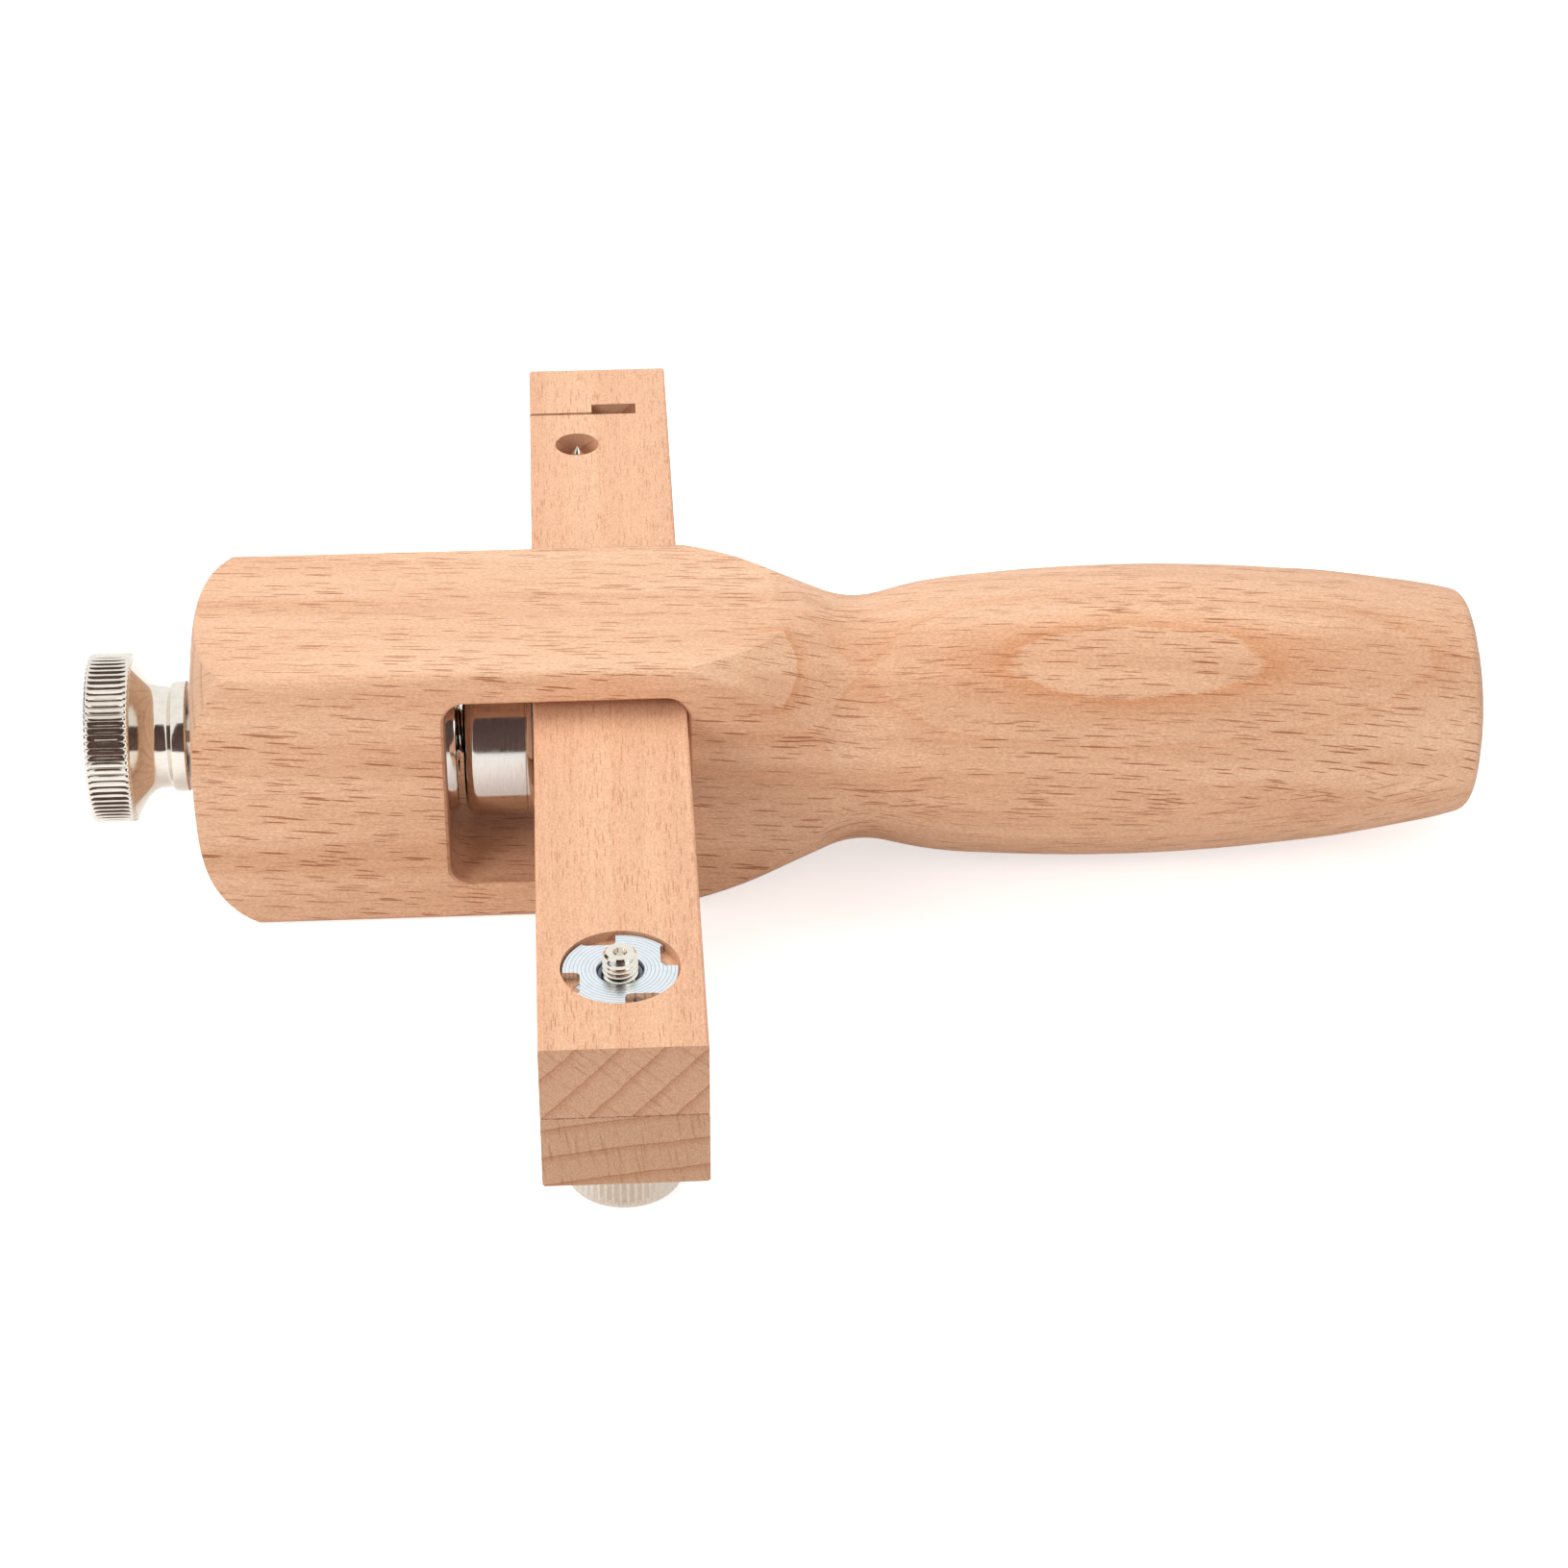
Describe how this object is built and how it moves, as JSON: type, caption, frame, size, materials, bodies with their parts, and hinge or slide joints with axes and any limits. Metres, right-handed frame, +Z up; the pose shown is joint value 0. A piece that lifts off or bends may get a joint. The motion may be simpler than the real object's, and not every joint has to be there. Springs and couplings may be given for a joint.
{
  "type": "strap cutter",
  "caption": "Wooden leather strap cutter: a turned handle with a flat-sided head, a sliding two-layer crossbar with a blade, and knurled screws that clamp the bar and set the gap.",
  "frame": {"origin": "on the head's underside, below the middle of the crossbar's width and midway between the head's two working faces", "axes": "+X along the turning axis towards the handle's butt, +Y along the crossbar towards the blade, +Z up"},
  "size_m": [0.2165, 0.1885, 0.0458],
  "materials": {
    "beech_stock": "fine-sanded steamed beech with a dull oil sheen and short dark ray flecks",
    "beech_bar": "fine-sanded lighter beech with fine straight grain along the bar",
    "nickel": "bright nickel plate on turned metal",
    "zinc": "bright zinc plate with faint concentric turning marks",
    "blade_steel": "ground steel"
  },
  "bodies": {
    "stock": {"stock": "beech_stock", "clamp_bush": "nickel"},
    "crossbar": {"upper_bar": "beech_bar", "tee_nut": "zinc", "blade": "blade_steel", "upper_bar_screw": "zinc"},
    "lower_bar": {"lower_bar": "beech_bar", "gap_washer": "zinc"},
    "gap_screw": {"gap_screw": "nickel"},
    "clamp_foot": {"clamp_foot": "nickel"},
    "clamp_screw": {"clamp_screw": "nickel"}
  },
  "joints": [
    {"name": "crossbar_slide", "type": "slide", "parent": "stock", "child": "crossbar", "axis": [0, 1, 0], "range_m": [-0.05, 0.054]},
    {"name": "foot_slide", "type": "slide", "parent": "stock", "child": "clamp_foot", "axis": [1, 0, 0], "range_m": [-0.00084, 0.00024]},
    {"name": "clamp_turn", "type": "hinge", "parent": "clamp_foot", "child": "clamp_screw", "pos_m": [-0.06405, 0, 0.0232], "axis": [1, 0, 0], "range_deg": [-243.9, 71.1]},
    {"name": "lower_bar_tilt", "type": "hinge", "parent": "crossbar", "child": "lower_bar", "pos_m": [0, -0.095, 0.0255], "axis": [1, 0, 0], "range_deg": [-0.05, 1.37]},
    {"name": "gap_turn", "type": "hinge", "parent": "crossbar", "child": "gap_screw", "pos_m": [0, -0.0818, 0.0138], "axis": [0, 0, 1], "range_deg": [0, 83.8]}
  ],
  "couplings": [
    {"joint": "clamp_turn", "follows": "foot_slide", "rad_per_m": 5026.5},
    {"joint": "lower_bar_tilt", "follows": "gap_turn", "ratio": 0.015913}
  ]
}
